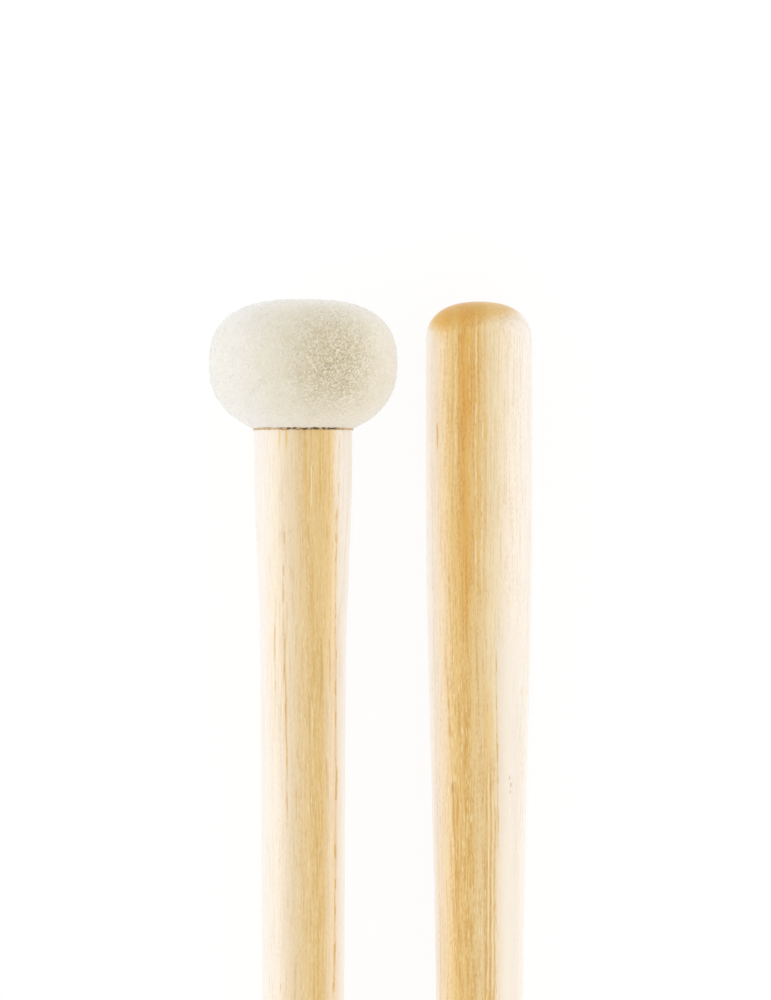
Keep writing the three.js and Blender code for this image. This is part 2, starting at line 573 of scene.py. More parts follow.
@dataclass(frozen=True)
class Lie:
    """How one mallet lies: the middle of its butt's flat and the middle of its head's crown."""

    butt: Vector
    crown: Vector

    @classmethod
    def of(cls, side: Side) -> "Lie":
        """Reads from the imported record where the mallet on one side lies."""
        mounts = {mount["name"]: Vector(mount["pos_m"]) for mount in frame["record"]["mounts"]}
        return cls(mounts[f"{side.value}_butt_face"], mounts[f"{side.value}_crown_face"])

    @property
    def matrix(self) -> Matrix:
        """Carries the mallet's own frame, with Y along its axis from the butt, to where it lies."""
        along = (self.crown - self.butt).normalized()
        across = along.cross(UP).normalized()
        turn = Matrix((across, along, across.cross(along))).transposed()
        return Matrix.Translation(self.butt) @ turn.to_4x4()

    def millimetres(self, desk: NodeDesk) -> Socket:
        """Reads a place on the mallet in its own frame.

        Args:
            desk: the material's desk.

        Returns:
            The place, in millimetres.
        """
        back = desk.node("ShaderNodeMapping", vector_type="TEXTURE")
        desk.fill(
            back,
            Vector=desk.node("ShaderNodeTexCoord").outputs["Object"],
            Location=tuple(self.butt),
            Rotation=tuple(self.matrix.to_euler()),
            Scale=(MM, MM, MM),
        )
        return back.outputs[0]


class Tone(Enum):
    """What a streak is: its colour, and how that lies over the grain. Most are wood; some are
    painted highlight or painted shade.
    """

    HEART = ((0.95, 0.79, 0.34, 1.0), Blend.MULTIPLY)
    OLIVE = ((0.90, 0.87, 0.72, 1.0), Blend.MULTIPLY)
    CREAM = ((0.88, 0.74, 0.48, 1.0), Blend.MIX)
    # Painted highlight: a pale tone laid over the grain on a lit side.
    PAINTED_HIGHLIGHT = ((0.83, 0.775, 0.71, 1.0), Blend.MIX)
    # Painted shade: a darker, pinker pale laid over a lit side where it should be less bright.
    PAINTED_SHADE = ((0.74, 0.66, 0.58, 1.0), Blend.MIX)
    VESSEL = ((0.60, 0.33, 0.05, 1.0), Blend.MIX)
    SCORCH = ((0.34, 0.15, 0.05, 1.0), Blend.MIX)


@dataclass(frozen=True)
class Streak:
    """One streak along the grain, in millimetres across the shaft and from its butt."""

    tone: Tone
    across: float
    start: float
    end: float
    width: float = 0.3
    strength: float = 0.7
    lean: float = 0.0
    softness: float = 0.25
    fade: float = 4.0
    broken: float = 0.0

    def over(self, colour: Socket, desk: NodeDesk, form: Tree, place: Socket) -> Socket:
        """Lays the streak over the wood.

        Args:
            colour: the wood's colour.
            desk: the material's desk.
            form: the shared group of a streak's form.
            place: the place on the shaft, with Y along the grain.

        Returns:
            The colour with the streak.
        """
        numbers = {name: getattr(self, name.lower()) for name in StreakForm.NUMBERS}
        mask = desk.group(form, Place=place, **numbers)["Mask"]
        tint, blend = self.tone.value
        return desk.blend(desk.times(mask, self.strength), colour, tint, blend)


@dataclass(frozen=True)
class Hickory:
    """Turned hickory under clear satin lacquer: amber heartwood in the middle, painted pale towards
    both sides as highlight.

    The two fields of the painted highlight say where it starts and where it is full, across the
    shaft; the amber middle between is left as the shade. The roughness and the coat are given for
    the sides and for the end grain.
    """

    name: str
    pith: Triple
    band_width: float
    figure: float
    streaks: tuple[Streak, ...]
    light: Colour = (0.79, 0.562, 0.243, 1.0)
    dark: Colour = (0.646, 0.38, 0.09, 1.0)
    vessel: Colour = (0.58, 0.30, 0.07, 1.0)
    ray: Colour = (0.88, 0.74, 0.46, 1.0)
    # Painted highlight: the grain colours of the pale sides, and where across the shaft they start
    # and are full on the outer and the inner side.
    painted_highlight_light: Colour = (0.835, 0.775, 0.705, 1.0)
    painted_highlight_dark: Colour = (0.73, 0.63, 0.51, 1.0)
    outer_painted_highlight: Span = (2.5, -9.5)
    inner_painted_highlight: Span = (5.3, 8.2)
    end_grain: Colour = (0.70, 0.41, 0.10, 1.0)
    end_tint: Colour = (0.93, 0.79, 0.46, 1.0)
    end_grain_range: Span = (4.7, 1.8)
    end_grain_slant: Triple = (0.17, 0.0, 0.13)
    ring_share: float = 0.5
    pore_scale: Triple = (2.2, 2.2, 2.2)
    pore_detail: float = 3.0
    pore_reach: float = 0.8
    pore_strength: Span = (1.25, 0.55)
    roughness: Span = (0.5, 0.75)
    coat: Span = (1.0, 0.2)
    relief_depth: float = 0.03 * MM
    relief_strength: float = 0.5

    def at_butt(self, desk: NodeDesk, place: Socket, wavy: Socket) -> Socket:
        """Finds the end grain on the domed butt, with its uneven edge.

        Args:
            desk: the material's desk.
            place: the place on the shaft.
            wavy: the same place, moved as the grain wanders.

        Returns:
            How much the end grain shows.
        """
        slant = desk.vector("DOT_PRODUCT", wavy, self.end_grain_slant, "Value")
        depth = desk.minus(desk.split(wavy)["Y"], slant)
        pores = desk.grey_cloud(place, self.pore_scale, self.pore_detail)
        depth = desk.plus(depth, desk.between(pores, -self.pore_reach, self.pore_reach))
        shown = desk.step(depth, *self.end_grain_range)
        return desk.times(shown, desk.between(pores, *self.pore_strength))

    def material(self, lie: Lie, patterns: Patterns) -> bpy.types.Material:
        """Makes the material for one shaft.

        Args:
            lie: where the mallet lies.
            patterns: the shared node groups.

        Returns:
            The material.
        """
        made, desk, surface = new_material(self.name)
        place = lie.millimetres(desk)
        wavy = desk.group(patterns.drift, Place=place)["Place"]
        across = desk.split(wavy)["X"]
        # Painted highlight: the wood is painted paler towards both sides, and the amber middle
        # between them is left as the shade.
        painted_highlight_share = desk.plus(desk.step(across, *self.outer_painted_highlight), desk.step(across, *self.inner_painted_highlight))
        wood = desk.group(
            patterns.grain,
            Place=wavy,
            Pith=self.pith,
            Band_Width=self.band_width,
            Figure=self.figure,
            Light=desk.blend(painted_highlight_share, self.light, self.painted_highlight_light),
            Dark=desk.blend(painted_highlight_share, self.dark, self.painted_highlight_dark),
            Vessel=self.vessel,
            Ray=self.ray,
        )
        colour = wood["Color"]
        for streak in self.streaks:
            colour = streak.over(colour, desk, patterns.streak, wavy)
        at_butt = self.at_butt(desk, place, wavy)
        rings = desk.blend(1.0, colour, self.end_tint, Blend.MULTIPLY)
        rings = desk.blend(self.ring_share, self.end_grain, rings)
        desk.fill(
            surface,
            Base_Color=desk.blend(at_butt, colour, rings),
            Roughness=desk.between(at_butt, *self.roughness),
            Coat_Weight=desk.between(at_butt, *self.coat),
            Coat_Roughness=0.35,
            Coat_IOR=1.4,
            Sheen_Weight=0.45,
            Sheen_Roughness=0.3,
        )
        desk.relief(surface, wood["Height"], self.relief_depth, self.relief_strength)
        return made


@dataclass(frozen=True)
class PressedFelt:
    """Hard pressed wool felt with a short sheared nap.

    One place is painted shade as well as scuffing and soiling. The ranges say where that place
    starts and is full, and where the clean felt does, in sizes of that place. The strengths are
    given for the smooth felt and for that place.
    """

    name: str
    scuff_and_shade: Triple
    scuff_and_shade_size: Triple = (12.5, 16.0, 15.0)
    scuff_and_shade_range: Span = (1.0, 0.1)
    clean_range: Span = (0.75, 1.75)
    pale: Colour = (0.93, 0.885, 0.785, 1.0)
    deep: Colour = (0.60, 0.52, 0.345, 1.0)
    clean_pale: Colour = (0.92, 0.89, 0.83, 1.0)
    clean_deep: Colour = (0.62, 0.59, 0.52, 1.0)
    soil_and_shade: Colour = (1.0, 0.95, 0.84, 1.0)
    speck: Colour = (0.42, 0.36, 0.24, 1.0)
    fibre_strength: Span = (0.4, 1.9)
    mottle_strength: Span = (0.08, 0.2)
    speck_strength: Span = (0.0, 0.35)
    scuff_and_shade_darkening: float = 0.06
    relief_depth: float = 0.2 * MM
    relief_strength: float = 0.8

    def material(self, lie: Lie, patterns: Patterns) -> bpy.types.Material:
        """Makes the material for one head: smooth, but for one place of scuffing and soiling, which
        is painted shade as well.

        Args:
            lie: where the mallet lies.
            patterns: the shared node groups.

        Returns:
            The material.
        """
        made, desk, surface = new_material(self.name)
        place = lie.millimetres(desk)
        wool = desk.group(patterns.matting, Place=place)
        # Painted shade: the place of scuffing is also where the head lies in shade, so there the
        # felt is painted yellower and darker, with stronger fibres and specks; away from it the felt
        # turns greyer.
        away = desk.vector("DIVIDE", desk.vector("SUBTRACT", place, self.scuff_and_shade), self.scuff_and_shade_size)
        away = desk.length(away)
        scuffed_and_shaded = desk.step(away, *self.scuff_and_shade_range)
        clean = desk.step(away, *self.clean_range)
        fibres = desk.minus(wool["Fibres"], HALF)
        fibres = desk.times(fibres, desk.between(scuffed_and_shaded, *self.fibre_strength))
        mottle = desk.minus(wool["Mottle"], HALF)
        mottle = desk.times(mottle, desk.between(scuffed_and_shaded, *self.mottle_strength))
        tone = desk.plus(desk.times(fibres, HALF), HALF)
        tone = desk.minus(desk.plus(tone, mottle), desk.times(scuffed_and_shaded, self.scuff_and_shade_darkening))
        deep = desk.blend(clean, self.deep, self.clean_deep)
        pale = desk.blend(clean, self.pale, self.clean_pale)
        colour = desk.blend(desk.clamp(tone), deep, pale)
        # Painted shade and soiling: yellows the felt in that place.
        colour = desk.blend(scuffed_and_shaded, colour, self.soil_and_shade, Blend.MULTIPLY)
        specks = desk.times(wool["Specks"], desk.between(scuffed_and_shaded, *self.speck_strength))
        desk.fill(
            surface,
            Base_Color=desk.blend(specks, colour, self.speck),
            Roughness=0.95,
            Specular_IOR_Level=0.2,
            Sheen_Weight=0.85,
            Sheen_Roughness=0.5,
        )
        desk.relief(surface, fibres, self.relief_depth, self.relief_strength)
        return made


@dataclass(frozen=True)
class CuredGlue:
    """Dark brown wood adhesive, set hard: thickest at one place across the joint.

    The fade says where, past the reach of the thick glue, it starts and where it is full. The
    strength is given for the thin glue and for the thick, and so is the roughness.
    """

    name: str
    thin: Colour = (0.68, 0.48, 0.28, 1.0)
    thick: Colour = (0.075, 0.038, 0.008, 1.0)
    thickest: float = 1.4
    thick_reach: float = 6.8
    thick_fade: Span = (1.0, -3.0)
    blob_scale: Triple = (1.1, 1.1, 1.1)
    blob_detail: float = 3.0
    blob_range: Span = (0.3, 0.62)
    blob_strength: Span = (0.2, 1.0)
    roughness: Span = (0.8, 0.6)

    def material(self, lie: Lie) -> bpy.types.Material:
        """Makes the material for one mallet's glue.

        Args:
            lie: where the mallet lies.

        Returns:
            The material.
        """
        made, desk, surface = new_material(self.name)
        place = lie.millimetres(desk)
        off = desk.math("ABSOLUTE", desk.minus(desk.split(place)["X"], self.thickest))
        near = desk.step(off, *(self.thick_reach + fade for fade in self.thick_fade))
        blobs = desk.grey_cloud(place, self.blob_scale, self.blob_detail)
        blobs = desk.step(blobs, *self.blob_range)
        depth = desk.times(blobs, desk.between(near, *self.blob_strength))
        desk.fill(
            surface,
            Base_Color=desk.blend(depth, self.thin, self.thick),
            Roughness=desk.between(depth, *self.roughness),
            Specular_IOR_Level=0.25,
        )
        return made


def clean_desk(owner: bpy.types.Material | bpy.types.World) -> NodeDesk:
    """Empties the node tree of a material or of the world, and starts on it.

    Args:
        owner: what has the tree.

    Returns:
        The tree's desk.
    """
    owner.use_nodes = True
    owner.node_tree.nodes.clear()
    return NodeDesk(owner.node_tree)


def new_material(name: str) -> tuple:
    """Starts a material with one Principled surface.

    Args:
        name: the material's name.

    Returns:
        The material, its desk and its surface node.
    """
    made = bpy.data.materials.new(name)
    desk = clean_desk(made)
    surface = desk.node("ShaderNodeBsdfPrincipled")
    desk.fill(desk.node("ShaderNodeOutputMaterial"), Surface=surface.outputs[0])
    return made, desk, surface


def piece_from(name: str, mesh: bmesh.types.BMesh, place: Matrix) -> Piece:
    """Makes an object of a finished mesh, with its place in its mesh.

    Args:
        name: the piece's name.
        mesh: its form, in the mallet's own frame. It is used up.
        place: what carries that frame to where the mallet lies.

    Returns:
        The object, at the origin.
    """
    bmesh.ops.transform(mesh, matrix=place, verts=mesh.verts)
    data = bpy.data.meshes.new(name)
    mesh.to_mesh(data)
    mesh.free()
    made = bpy.data.objects.new(name, data)
    bpy.context.scene.collection.objects.link(made)
    return made


def turned_form(profile: Profile, sides: int, closed: bool = False) -> bmesh.types.BMesh:
    """Spins a profile about the mallet's axis.

    Args:
        profile: a radius and a distance from the butt for each point.
        sides: how many steps the spin takes.
        closed: whether the profile runs back to its own start and not to the axis.

    Returns:
        A closed form with its faces pointing out, smooth but for its sharp corners.
    """
    form = bmesh.new()
    points = [form.verts.new((radius, station, 0.0)) for radius, station in profile]
    ends = points[1:] + points[:1] if closed else points[1:]
    lines = [form.edges.new(pair) for pair in zip(points, ends)]
    bmesh.ops.spin(
        form,
        geom=points + lines,
        cent=(0.0, 0.0, 0.0),
        axis=AXIS,
        angle=math.tau,
        steps=sides,
        use_merge=True,
    )
    bmesh.ops.remove_doubles(form, verts=form.verts, dist=MERGE_DISTANCE)
    bmesh.ops.recalc_face_normals(form, faces=form.faces)
    for face in form.faces:
        face.smooth = True
    for edge in form.edges:
        edge.smooth = edge.calc_face_angle(0.0) < SHARP_ANGLE
    return form


def superellipse(radius: float, height: float, power: float, inner: float, steps: int) -> Profile:
    """A rounded end, from an inner radius out to its full radius.

    Args:
        radius: the full radius.
        height: the rise of its pole.
        power: 2 for an ellipse, and more for a squarer shape.
        inner: the radius to start at.
        steps: how many steps to take.

    Returns:
        A radius and a rise over the widest station for each point.
    """
    start = math.asin((inner / radius) ** (power / 2))
    points = []
    for i in range(steps):
        angle = start + (math.pi / 2 - start) * i / steps
        out = radius * math.sin(angle) ** (2 / power)
        points.append((out, height * math.cos(angle) ** (2 / power)))
    return [*points, (radius, 0.0)]


def flattened(end: Profile, height: float) -> Profile:
    """Stretches a rounded end, so that its flat is at full height.

    Args:
        end: the rounded end.
        height: the full height.

    Returns:
        The same points, stretched.
    """
    stretch = height / end[0][1]
    return [(radius, rise * stretch) for radius, rise in end]


def smooth_stretch(start: Span, end: Span, shares: Span, steps: int) -> Profile:
    """A smooth stretch of the shaft, level with the axis at its ends.

    Args:
        start: its first radius and station.
        end: its last radius and station.
        shares: how much of its length stays nearly level at either end.
        steps: how many steps to take.

    Returns:
        The points after the first one.
    """
    length = end[1] - start[1]
    first, last = Vector(start), Vector(end)
    leaving = first + Vector((0.0, shares[0] * length))
    arriving = last - Vector((0.0, shares[1] * length))
    points = []
    for i in range(1, steps + 1):
        t = i / steps
        u = 1 - t
        point = u**3 * first + 3 * u * u * t * leaving + 3 * u * t * t * arriving + t**3 * last
        points.append((point.x, point.y))
    return points


@dataclass
class Joint:
    """The sizes where the head meets the shaft."""

    length: float = 380.0 * MM
    crown_height: float = 13.3 * MM
    underside_height: float = 13.4 * MM
    neck_radius: float = 9.95 * MM
    tenon_radius: float = 4.75 * MM
    felt_over_tenon: float = 6.2 * MM
    seat_rise: float = 0.72 * MM
    bead_gap: float = 0.27 * MM
    film: float = 1.0 * MM

    @property
    def widest(self) -> float:
        """Where the head is widest, from the butt."""
        return self.length - self.crown_height

    @property
    def seat(self) -> float:
        """The felt's seat, a little up into the head, where the glue holds it."""
        return self.widest - self.underside_height + self.seat_rise

    @property
    def shoulder(self) -> float:
        """The shoulder of the shaft. It comes up to leave only the thin line of glue."""
        return self.seat - self.bead_gap

    @property
    def bore_end(self) -> float:
        """The end of the felt's blind bore."""
        return self.length - self.felt_over_tenon


@dataclass
class Shaft:
    """One piece of turned hickory, from its domed butt to its tenon."""

    side: Side
    joint: Joint
    finish: Hickory
    butt_radius: float = 10.8 * MM
    dome_height: float = 8.1 * MM
    dome_power: float = 2.4
    dome_steps: int = 26
    butt_flat_radius: float = 2.5 * MM
    grip_length: float = 35.0 * MM
    taper_length: float = 175.0 * MM
    taper_shares: Span = (0.3, 0.6)
    taper_steps: int = 72
    waist_radius: float = 8.3 * MM
    swell_shares: Span = (0.5, 0.0)
    swell_steps: int = 32
    throat_radius: float = 8.65 * MM
    flare_length: float = 48.0 * MM
    flare_shares: Span = (0.36, 0.36)
    flare_steps: int = 28
    neck_length: float = 3.55 * MM
    edge_round: float = 0.25 * MM
    edge_steps: int = 4
    tenon_chamfer: float = 0.8 * MM
    sides: int = 128

    def edge(self) -> Profile:
        """Works out the rounded edge of the shoulder.

        Returns:
            Its points, from the neck to the shoulder's face.
        """
        points = []
        for i in range(self.edge_steps + 1):
            angle = math.pi / 2 * i / self.edge_steps
            radius = self.joint.neck_radius - self.edge_round * (1 - math.cos(angle))
            points.append((radius, self.joint.shoulder - self.edge_round * (1 - math.sin(angle))))
        return points

    def profile(self) -> Profile:
        """Works out the shaft's profile.

        Returns:
            Its points, from the axis at the butt to the axis at the tenon's end.
        """
        dome = superellipse(
            self.butt_radius,
            self.dome_height,
            self.dome_power,
            self.butt_flat_radius,
            self.dome_steps,
        )
        joint = self.joint
        grip = (self.butt_radius, self.grip_length)
        waist = (self.waist_radius, self.grip_length + self.taper_length)
        neck = (joint.neck_radius, joint.shoulder - self.neck_length)
        throat = (self.throat_radius, neck[1] - self.flare_length)
        tenon_end = joint.bore_end - joint.film
        return [
            (0.0, 0.0),
            *[(r, self.dome_height - rise) for r, rise in flattened(dome, self.dome_height)],
            grip,
            *smooth_stretch(grip, waist, self.taper_shares, self.taper_steps),
            *smooth_stretch(waist, throat, self.swell_shares, self.swell_steps),
            *smooth_stretch(throat, neck, self.flare_shares, self.flare_steps),
            *self.edge(),
            (joint.tenon_radius, joint.shoulder),
            (joint.tenon_radius, tenon_end - self.tenon_chamfer),
            (joint.tenon_radius - self.tenon_chamfer, tenon_end),
            (0.0, tenon_end),
        ]

    def build(self, lie: Lie, patterns: Patterns) -> list[Piece]:
        """Turns the shaft, finishes it and puts it on its mallet.

        Args:
            lie: where the mallet lies.
            patterns: the shared node groups.

        Returns:
            The shaft.
        """
        form = turned_form(self.profile(), self.sides)
        piece = piece_from(f"{self.side.value}_turned_shaft", form, lie.matrix)
        piece.data.materials.append(self.finish.material(lie, patterns))
        settle(piece, self.side, "hickory", f"{self.side.value}_shaft")
        return [piece]


@dataclass
class FeltHead:
    """A solid head of hard pressed felt, with the nap that stands on it.

    The scales of the lumps and tufts say how often they come in a millimetre.
    """

    side: Side
    joint: Joint
    finish: PressedFelt
    radius: float = 19.05 * MM
    crown_power: float = 2.65
    crown_steps: int = 80
    crown_flat_radius: float = 5.0 * MM
    crown_flat_steps: int = 20
    underside_power: float = 2.2
    underside_steps: int = 70
    seat_radius: float = 10.15 * MM
    bore_radius: float = 5.75 * MM
    bore_margin: float = 0.06 * MM
    sides: int = 360
    lump_height: float = 0.05 * MM
    lump_scale: float = 0.22
    tuft_height: float = 0.03 * MM
    tuft_scale: float = 1.15
    fine_tuft_scale: float = 2.4
    fray: float = 0.12 * MM
    frayed_reach: float = 0.5 * MM
    strands: int = 2200
    strand_points: int = 5
    strand_radius: float = 0.024 * MM
    strand_taper: float = 0.15
    root_depth: float = 0.02 * MM
    shortest_strand: float = 0.35 * MM
    longest_strand: float = 0.9 * MM
    lift_range: Span = (0.03, 0.3)
    most_bend: float = 0.9
    droop: float = 0.3
    lay_slant: float = 0.1
    seed_stride: float = 10.0

    def outline(self) -> Profile:
        """Works out the outside of the felt.

        Returns:
            Its points, from the seat's edge to the edge of the crown's flat.
        """
        joint = self.joint
        power = self.underside_power
        share = (1 - (self.seat_radius / self.radius) ** power) ** (1 / power)
        depth = (joint.widest - joint.seat) / share
        below = superellipse(self.radius, depth, power, self.seat_radius, self.underside_steps)
        above = superellipse(
            self.radius,
            joint.crown_height,
            self.crown_power,
            self.crown_flat_radius,
            self.crown_steps,
        )
        above = flattened(above, joint.crown_height)
        return [
            *[(r, joint.widest - rise) for r, rise in below],
            *[(r, joint.widest + rise) for r, rise in reversed(above[:-1])],
        ]

    def profile(self) -> Profile:
        """Works out the felt's whole profile, with its blind bore.

        Returns:
            Its points, from the axis in the bore round to the axis at the crown.
        """
        joint = self.joint
        rings = range(self.crown_flat_steps - 1, -1, -1)
        return [
            (0.0, joint.bore_end),
            (self.bore_radius, joint.bore_end),
            (self.bore_radius, joint.seat),
            *self.outline(),
            *[(self.crown_flat_radius * i / self.crown_flat_steps, joint.length) for i in rings],
        ]

    def roughen(self, form: bmesh.types.BMesh, seed: float) -> None:
        """Gives the pressed surface its lumps and tufts, outside the bore, and frays its seat.

        Args:
            form: the turned felt, in the mallet's own frame.
            seed: which part of the pattern to use.
        """
        form.normal_update()
        moves = []
        for vertex in form.verts:
            place = vertex.co / MM
            radius = math.hypot(place.x, place.z) * MM
            in_bore = radius <= self.bore_radius + self.bore_margin
            if in_bore and vertex.co.y < self.joint.length - MM:
                continue
            lump = noise.noise(place * self.lump_scale + Vector((seed, 0.0, 0.0)))
            tufts = noise.noise(place * self.tuft_scale + Vector((0.0, seed, 0.0)))
            tufts += noise.noise(place * self.fine_tuft_scale + Vector((0.0, 0.0, seed)))
            height = lump * self.lump_height + tufts * self.tuft_height
            near_seat = 1.0 - (vertex.co.y - self.joint.seat) / self.frayed_reach
            frayed = self.fray * max(0.0, near_seat) * tufts
            moves.append((vertex, vertex.normal * height + AXIS * frayed))
        for vertex, move in moves:
            vertex.co += move

    def strand(self, draw: random.Random, start: Span, end: Span) -> list[Vector]:
        """Lays one wool fibre on a stretch of the felt's outline.

        Args:
            draw: makes the random draws.
            start: the radius and station where the stretch starts.
            end: the radius and station where it ends.

        Returns:
            The fibre's points, in the mallet's own frame.
        """
        share = draw.random()
        radius, station = (a + (b - a) * share for a, b in zip(start, end))
        angle = draw.uniform(0.0, math.tau)
        out = Vector((math.cos(angle), 0.0, math.sin(angle)))
        slope = Vector(end) - Vector(start)
        normal = (out * slope.y - AXIS * slope.x).normalized()
        around = normal.cross(AXIS + self.lay_slant * out).normalized()
        lay = Matrix.Rotation(draw.uniform(0.0, math.tau), 3, normal) @ around
        length = draw.uniform(self.shortest_strand, self.longest_strand)
        lift = draw.uniform(*self.lift_range)
        turn = Matrix.Rotation(draw.uniform(-self.most_bend, self.most_bend) / 2, 3, normal)
        heading = (lay + normal * lift).normalized()
        points = [out * radius + AXIS * station - normal * self.root_depth]
        for _ in range(self.strand_points - 1):
            points.append(points[-1] + heading * length / (self.strand_points - 1))
            heading = (turn @ heading - normal * lift * self.droop).normalized()
        return points

    def nap(self, lie: Lie, seed: int) -> Piece:
        """Lays single wool fibres over the felt.

        Args:
            lie: where the mallet lies.
            seed: starts the random draws.

        Returns:
            The fibres as one mesh.
        """
        draw = random.Random(seed)
        outline = self.outline()
        weights = [radius for radius, _ in outline[:-1]]
        name = f"{self.side.value}_felt_nap"
        curve = bpy.data.curves.new(name, "CURVE")
        curve.dimensions = "3D"
        curve.bevel_depth = self.strand_radius
        curve.bevel_resolution = 0
        curve.use_fill_caps = True
        lay = lie.matrix
        for i in draw.choices(range(len(outline) - 1), weights, k=self.strands):
            strand = self.strand(draw, outline[i], outline[i + 1])
            spline = curve.splines.new("POLY")
            spline.points.add(self.strand_points - 1)
            for number, (point, place) in enumerate(zip(spline.points, strand)):
                point.co = (*(lay @ place), 1.0)
                point.radius = 1.0 - self.strand_taper * number
        holder = bpy.data.objects.new(name, curve)
        bpy.context.scene.collection.objects.link(holder)
        bpy.context.view_layer.update()
        evaluated = holder.evaluated_get(bpy.context.evaluated_depsgraph_get())
        mesh = bpy.data.meshes.new_from_object(evaluated)
        bpy.data.objects.remove(holder)
        made = bpy.data.objects.new(name, mesh)
        bpy.context.scene.collection.objects.link(made)
        return made

    def build(self, lie: Lie, patterns: Patterns, seed: int) -> list[Piece]:
        """Presses the head, finishes it and puts it on its mallet.

        Args:
            lie: where the mallet lies.
            patterns: the shared node groups.
            seed: which part of each pattern to use.

        Returns:
            The head and its nap.
        """
        form = turned_form(self.profile(), self.sides)
        self.roughen(form, self.seed_stride * seed)
        piece = piece_from(f"{self.side.value}_pressed_head", form, lie.matrix)
        material = self.finish.material(lie, patterns)
        piece.data.materials.append(material)
        settle(piece, self.side, "felt", f"{self.side.value}_felt_head")
        nap = self.nap(lie, seed)
        nap.data.materials.clear()
        nap.data.materials.append(material)
        settle(nap, self.side, "felt")
        return [piece, nap]


@dataclass
class GlueLine:
    """The glue of one joint: the uneven bead at the shoulder and the film round the tenon.

    The swells and shifts have a scale in changes per millimetre and a strength for each wave.
    """

    side: Side
    joint: Joint
    finish: CuredGlue
    inner_radius: float = 5.05 * MM
    inset: float = 0.02 * MM
    clearance: float = 0.01 * MM
    skin: float = 0.05 * MM
    rim_steps: int = 8
    sides: int = 300
    bulge: float = 0.21 * MM
    even_swell: float = 0.5
    swells: tuple[Span, ...] = ((0.9, 1.0), (2.3, 0.8))
    thin_share: float = 0.3
    least_height: float = 1.4
    spread: float = 1.3
    wander: float = 0.16 * MM
    shifts: tuple[Span, ...] = ((1.7, 1.0), (4.3, 0.5))

    def squeeze_out(self, form: bmesh.types.BMesh, outer: float, middle: float, seed: int) -> None:
        """Makes the bead uneven: it swells, spreads and wanders, most where the glue is thick.

        Args:
            form: the even bead, in the mallet's own frame.
            outer: its outer radius.
            middle: its middle, from the butt.
            seed: which part of the pattern to use.
        """
        for vertex in form.verts:
            radius = math.hypot(vertex.co.x, vertex.co.z)
            if radius < outer - self.skin:
                continue
            out = Vector((vertex.co.x, 0.0, vertex.co.z)) / radius
            around = Vector((out.x, out.z, seed)) * self.joint.neck_radius / MM
            swell, shift = (
                sum(strength * noise.noise(around * scale) for scale, strength in waves)
                for waves in (self.swells, self.shifts)
            )
            off = (vertex.co.x / MM - self.finish.thickest) / self.finish.thick_reach
            thick = self.thin_share + (1.0 - self.thin_share) / (1.0 + off**4)
            swell = max(0.0, self.even_swell + swell) * thick
            height = (vertex.co.y - middle) * (self.least_height + self.spread * swell)
            vertex.co += out * swell * self.bulge
            vertex.co.y = middle + height + shift * self.wander

    def build(self, lie: Lie, seed: int) -> list[Piece]:
        """Lays the bead, and finishes it and the film.

        Args:
            lie: where the mallet lies.
            seed: which part of the pattern to use.

        Returns:
            The bead and the film.
        """
        joint = self.joint
        outer = joint.neck_radius - self.inset
        half = joint.bead_gap / 2 - self.clearance
        middle = joint.shoulder + joint.bead_gap / 2
        profile = [(self.inner_radius, middle - half)]
        for i in range(self.rim_steps + 1):
            angle = math.pi * i / self.rim_steps
            profile.append((outer + half * math.sin(angle), middle - half * math.cos(angle)))
        profile.append((self.inner_radius, middle + half))
        form = turned_form(profile, self.sides, closed=True)
        self.squeeze_out(form, outer, middle, seed)
        piece = piece_from(f"{self.side.value}_glue_bead", form, lie.matrix)
        material = self.finish.material(lie)
        piece.data.materials.append(material)
        settle(piece, self.side, "glue", f"{self.side.value}_shoulder_glue")
        film = frame["nodes"][f"{self.side.value}_tenon_glue"]
        film.data.materials.clear()
        film.data.materials.append(material)
        LOG.info("dressed %s", film.name)
        return [piece, film]


def settle(piece: Piece, side: Side, slot: str, *nodes: str) -> None:
    """Puts a finished piece on its mallet.

    Args:
        piece: the piece.
        side: which mallet it belongs to.
        slot: the record's material slot; not used.
        nodes: the model's nodes that it stands for.
    """
    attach(piece, side.body)
    if nodes:
        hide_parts(*nodes)
    LOG.info("made %s, %d faces", piece.name, len(piece.data.polygons))


@dataclass
class Mallet:
    """One complete mallet."""

    side: Side
    wood: Hickory
    scuff_and_shade: Triple
    seed: int

    def build(self, patterns: Patterns) -> list[Piece]:
        """Builds the shaft, the head and the glue.

        Args:
            patterns: the shared node groups.

        Returns:
            All its pieces.
        """
        lie = Lie.of(self.side)
        joint = Joint()
        felt = PressedFelt(f"pressed_felt_{self.side.value}", self.scuff_and_shade)
        glue = CuredGlue(f"cured_glue_{self.side.value}")
        return [
            *Shaft(self.side, joint, self.wood).build(lie, patterns),
            *FeltHead(self.side, joint, felt).build(lie, patterns, self.seed),
            *GlueLine(self.side, joint, glue).build(lie, self.seed),
        ]


@dataclass(frozen=True)
class Lamp:
    """One long soft box beside a mallet, which the camera doesn't see."""

    name: str
    bearing: float
    elevation: float
    height: float
    glow: float
    length: float = 0.9
    distance: float = 0.7

    def build(self, lit: bpy.types.Collection) -> None:
        """Hangs the lamp.

        Args:
            lit: what it lights, and what stops its light.
        """
        light = bpy.data.lights.new(self.name, "AREA")
        light.shape = "RECTANGLE"
        light.size = self.length
        light.size_y = self.height
        light.energy = self.glow * math.pi * self.length * self.height
        holder = bpy.data.objects.new(self.name, light)
        away = Vector((self.bearing * math.cos(self.elevation), 0.0, math.sin(self.elevation)))
        holder.location = away * self.distance
        holder.rotation_mode = "QUATERNION"
        holder.rotation_quaternion = (-away).to_track_quat("-Z", "Y")
        holder.visible_camera = False
        holder.light_linking.receiver_collection = lit
        holder.light_linking.blocker_collection = lit
        bpy.context.scene.collection.objects.link(holder)


